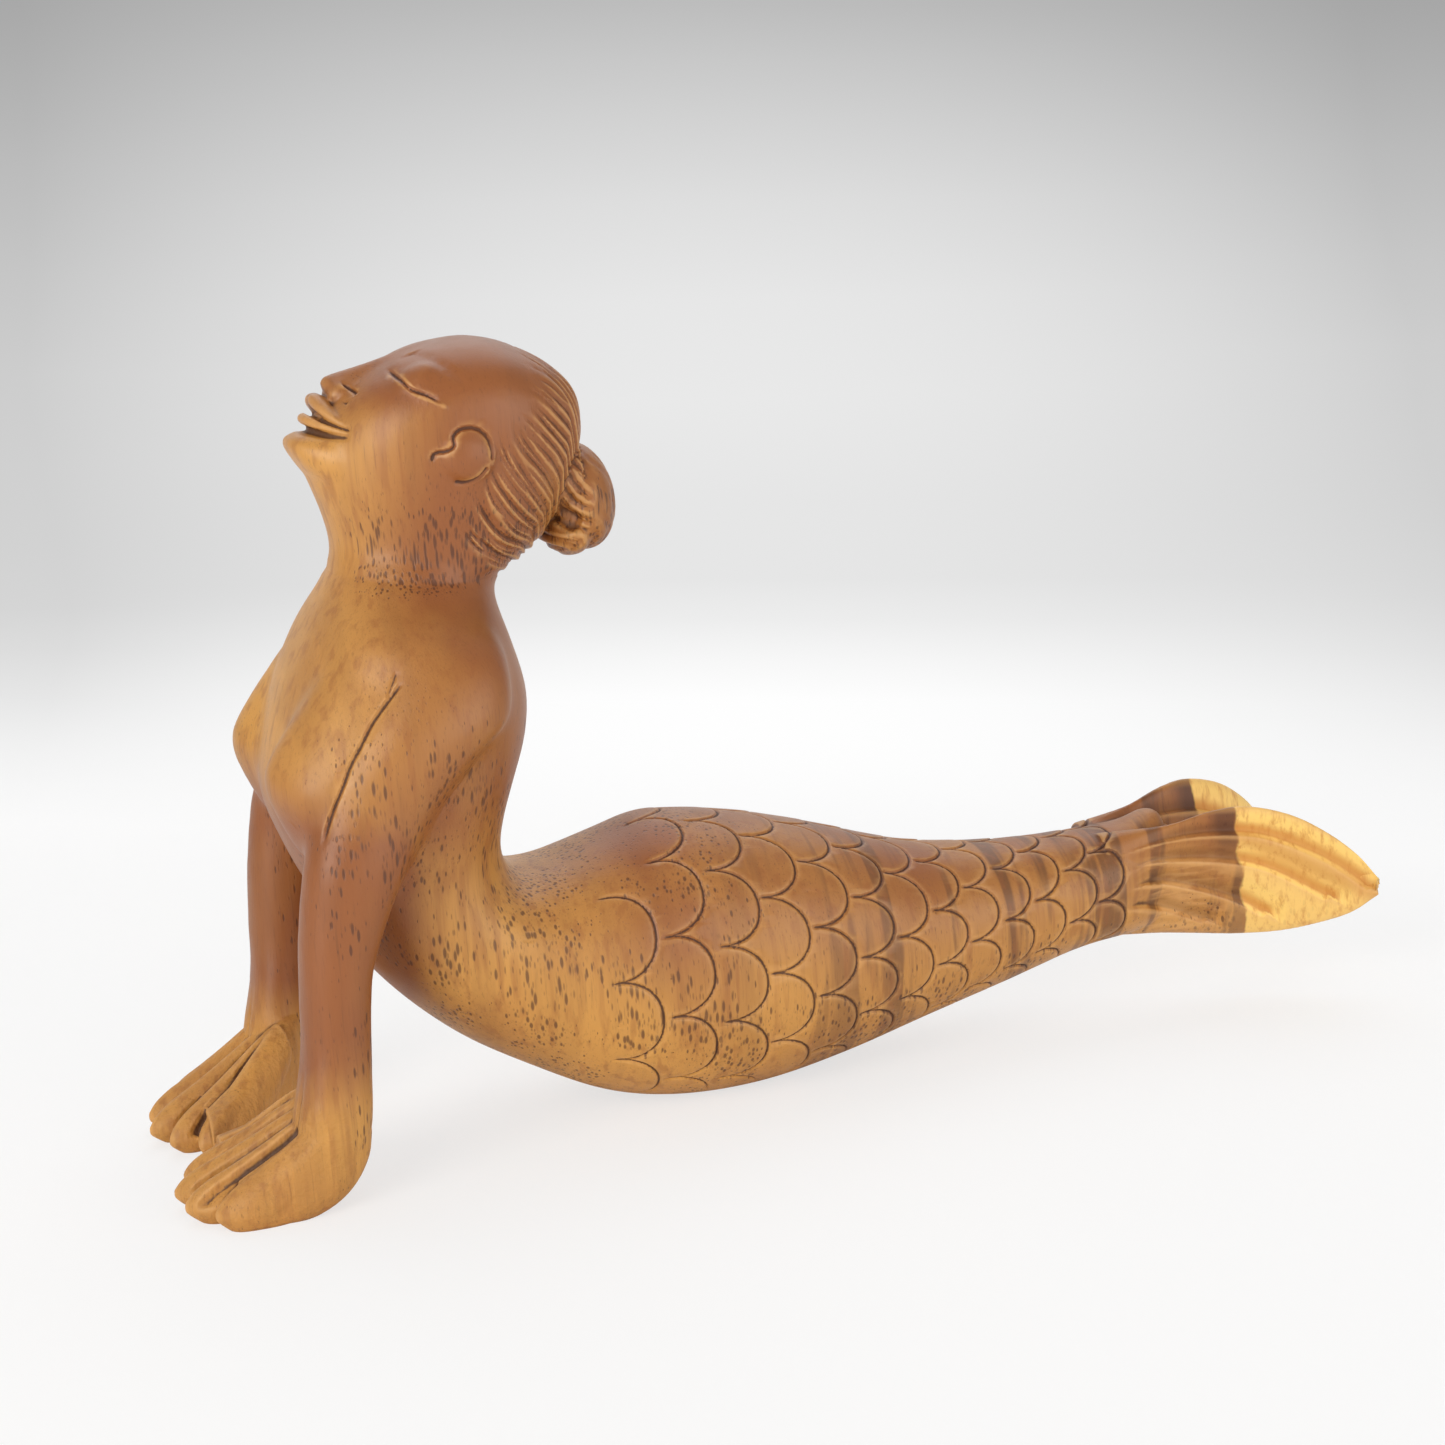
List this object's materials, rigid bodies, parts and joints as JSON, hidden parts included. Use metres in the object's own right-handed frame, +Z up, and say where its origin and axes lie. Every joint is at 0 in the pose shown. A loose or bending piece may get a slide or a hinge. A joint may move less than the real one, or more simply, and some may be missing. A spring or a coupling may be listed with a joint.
{
  "type": "carved wooden mermaid figurine",
  "caption": "Free-standing carved hardwood mermaid in a cobra pose, with straight arms, a lifted head and bun, an engraved scaly tail and a fluted fin.",
  "frame": {"origin": "on the floor under the middle of the figure's length and width", "axes": "+X to the tail tip, -X to the face and fingertips, +Y to her right side, +Z up"},
  "size_m": [0.2966, 0.0869, 0.1819],
  "materials": {
    "waxed_hardwood": "satin"
  },
  "bodies": {
    "root": {"mermaid_carving": "waxed_hardwood"}
  },
  "joints": []
}
